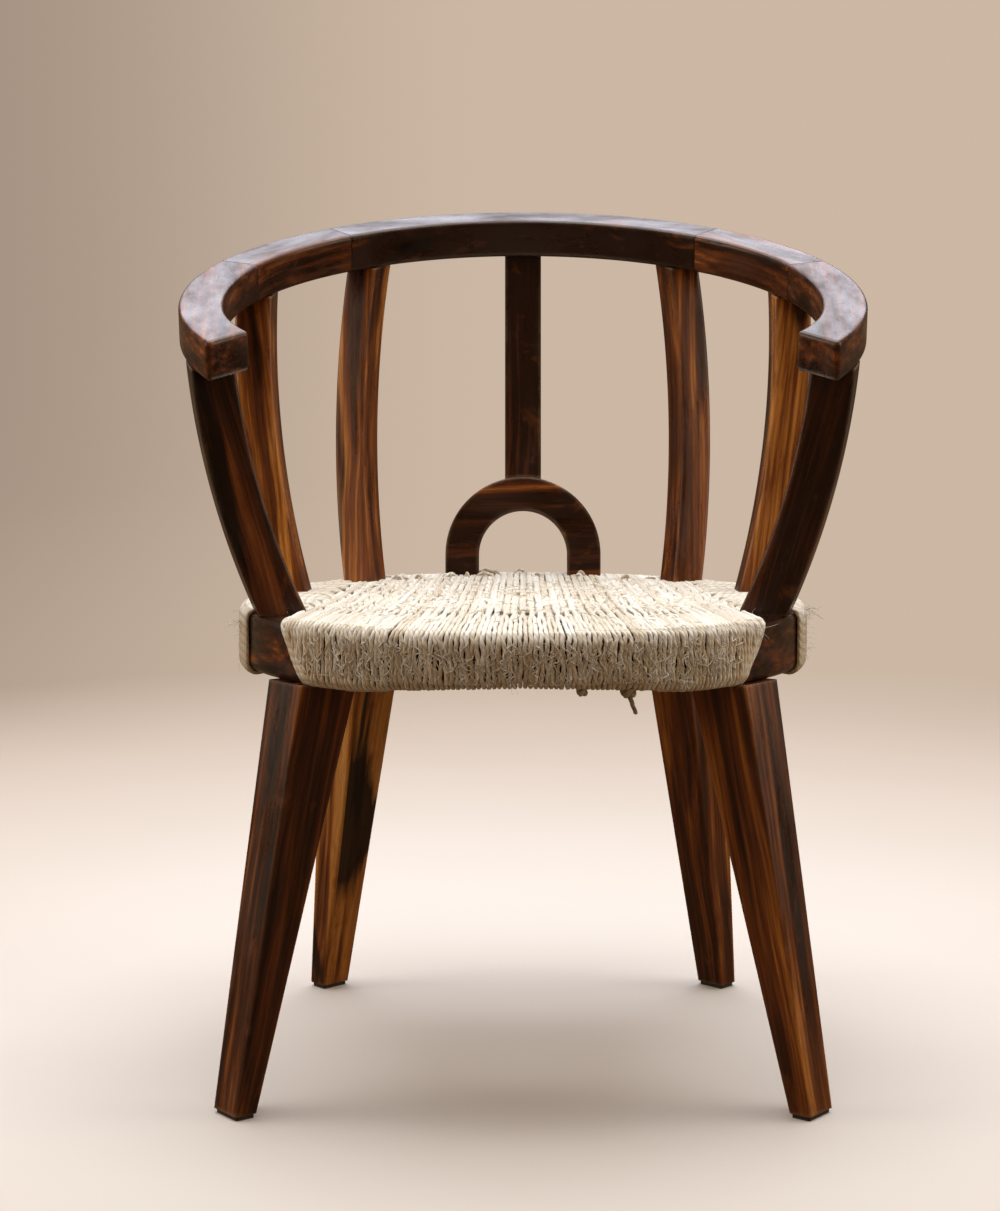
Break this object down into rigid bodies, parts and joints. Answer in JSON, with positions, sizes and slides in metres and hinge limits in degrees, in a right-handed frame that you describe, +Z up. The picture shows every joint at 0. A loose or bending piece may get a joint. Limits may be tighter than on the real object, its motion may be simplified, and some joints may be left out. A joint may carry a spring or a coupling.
{
  "type": "lamu chair",
  "caption": "Armchair with a horseshoe rail on bowed posts, a splat standing on a small arch, splayed tapered legs and a round seat wound with cord.",
  "frame": {"origin": "on the floor, under the middle of the chair's outline seen from above", "axes": "+Z up, -Y the way the sitter faces, +X to the right for someone who stands in front of the chair and looks at it"},
  "size_m": [0.6, 0.5532, 0.7451],
  "materials": {
    "dark_wood": "gloss",
    "seat_cord": "matte",
    "foot_pad": "matte"
  },
  "bodies": {
    "root": {"rail_back": "dark_wood", "rail_shoulder_right": "dark_wood", "rail_shoulder_left": "dark_wood", "rail_arm_right": "dark_wood", "rail_arm_left": "dark_wood", "seat_rail_back": "dark_wood", "seat_rail_right": "dark_wood", "seat_rail_left": "dark_wood", "seat_rail_front": "dark_wood", "back_post_right": "dark_wood", "back_post_left": "dark_wood", "side_post_right": "dark_wood", "side_post_left": "dark_wood", "front_post_right": "dark_wood", "front_post_left": "dark_wood", "splat_arch": "dark_wood", "centre_splat": "dark_wood", "front_leg_right": "dark_wood", "front_leg_left": "dark_wood", "rear_leg_right": "dark_wood", "rear_leg_left": "dark_wood", "rail_dowels": "dark_wood", "seat_dowels": "dark_wood", "cord_wrap_front": "seat_cord", "cord_wrap_back": "seat_cord", "cord_wrap_side_right": "seat_cord", "cord_wrap_side_left": "seat_cord", "cord_wrap_shoulder_right": "seat_cord", "cord_wrap_shoulder_left": "seat_cord", "cord_deck": "seat_cord", "cord_deck_underside": "seat_cord", "cord_end_knot": "seat_cord", "cord_lump": "seat_cord", "front_leg_pad_right": "foot_pad", "front_leg_pad_left": "foot_pad", "rear_leg_pad_right": "foot_pad", "rear_leg_pad_left": "foot_pad"}
  },
  "joints": []
}
